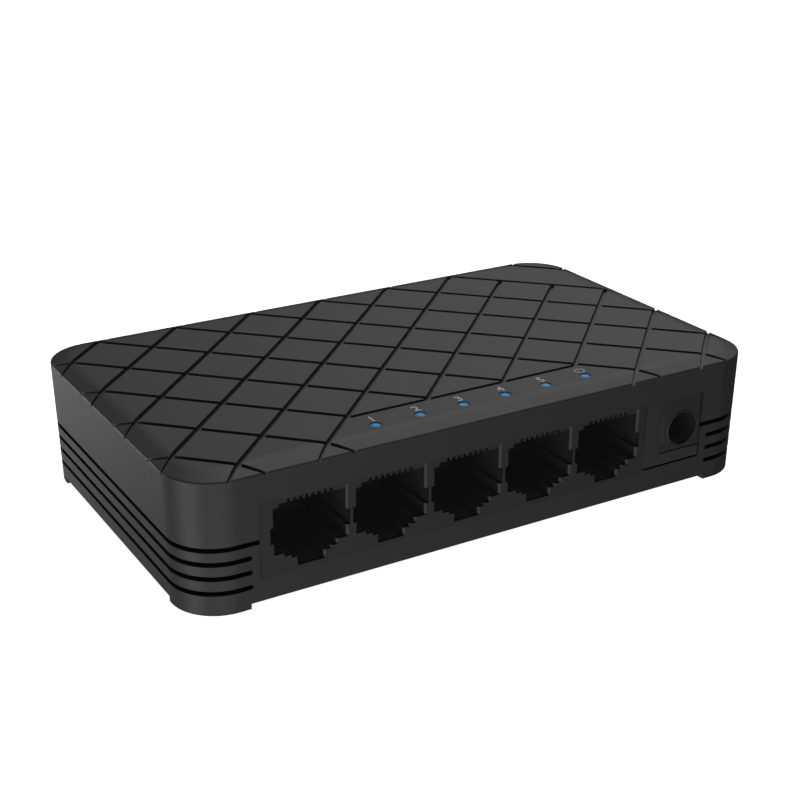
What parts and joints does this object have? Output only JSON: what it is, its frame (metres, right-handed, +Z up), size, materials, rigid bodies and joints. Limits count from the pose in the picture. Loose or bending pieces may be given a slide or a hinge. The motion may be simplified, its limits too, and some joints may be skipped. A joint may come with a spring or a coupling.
{
  "type": "desktop network switch",
  "caption": "Compact desktop network switch: flat rounded case with a lattice-cut top, a row of modular sockets, a round power inlet and a row of status lights.",
  "frame": {"origin": "middle of the footprint, on the surface that the four corner feet rest on", "axes": "+X to the right along the long side, -Y out of the socket side (front), +Z up"},
  "size_m": [0.1084, 0.0648, 0.023],
  "materials": {
    "black_case": "fine matt moulded texture",
    "black_nylon": "smooth moulded nylon",
    "green_board": "solder mask over glass fibre board",
    "moulded_epoxy": "matt moulding compound",
    "gold_contacts": "gold-plated spring strip in a dark carrier",
    "nickel": "nickel plate",
    "zinc_steel": "zinc-plated steel",
    "aluminium_can": "drawn can",
    "clear_guide": "clear acrylic",
    "led_package": "lit blue"
  },
  "bodies": {
    "root": {"capacitor_1": "aluminium_can", "capacitor_2": "aluminium_can", "case_screw_1": "zinc_steel", "case_screw_2": "zinc_steel", "case_screw_3": "zinc_steel", "case_screw_4": "zinc_steel", "circuit_board": "green_board", "crystal": "nickel", "input_diode": "moulded_epoxy", "light_guide": "clear_guide", "lower_case": "black_case", "magnetics_1": "moulded_epoxy", "magnetics_2": "moulded_epoxy", "magnetics_3": "moulded_epoxy", "power_inductor": "moulded_epoxy", "power_jack_housing": "black_nylon", "power_jack_pin": "nickel", "power_jack_spring": "nickel", "rj45_contacts_1": "gold_contacts", "rj45_contacts_2": "gold_contacts", "rj45_contacts_3": "gold_contacts", "rj45_contacts_4": "gold_contacts", "rj45_contacts_5": "gold_contacts", "rj45_housing": "black_nylon", "settings_memory": "moulded_epoxy", "status_led_1": "led_package", "status_led_2": "led_package", "status_led_3": "led_package", "status_led_4": "led_package", "status_led_5": "led_package", "status_led_6": "led_package", "switch_chip": "moulded_epoxy", "upper_cover": "black_case", "voltage_regulator": "moulded_epoxy"}
  },
  "joints": []
}
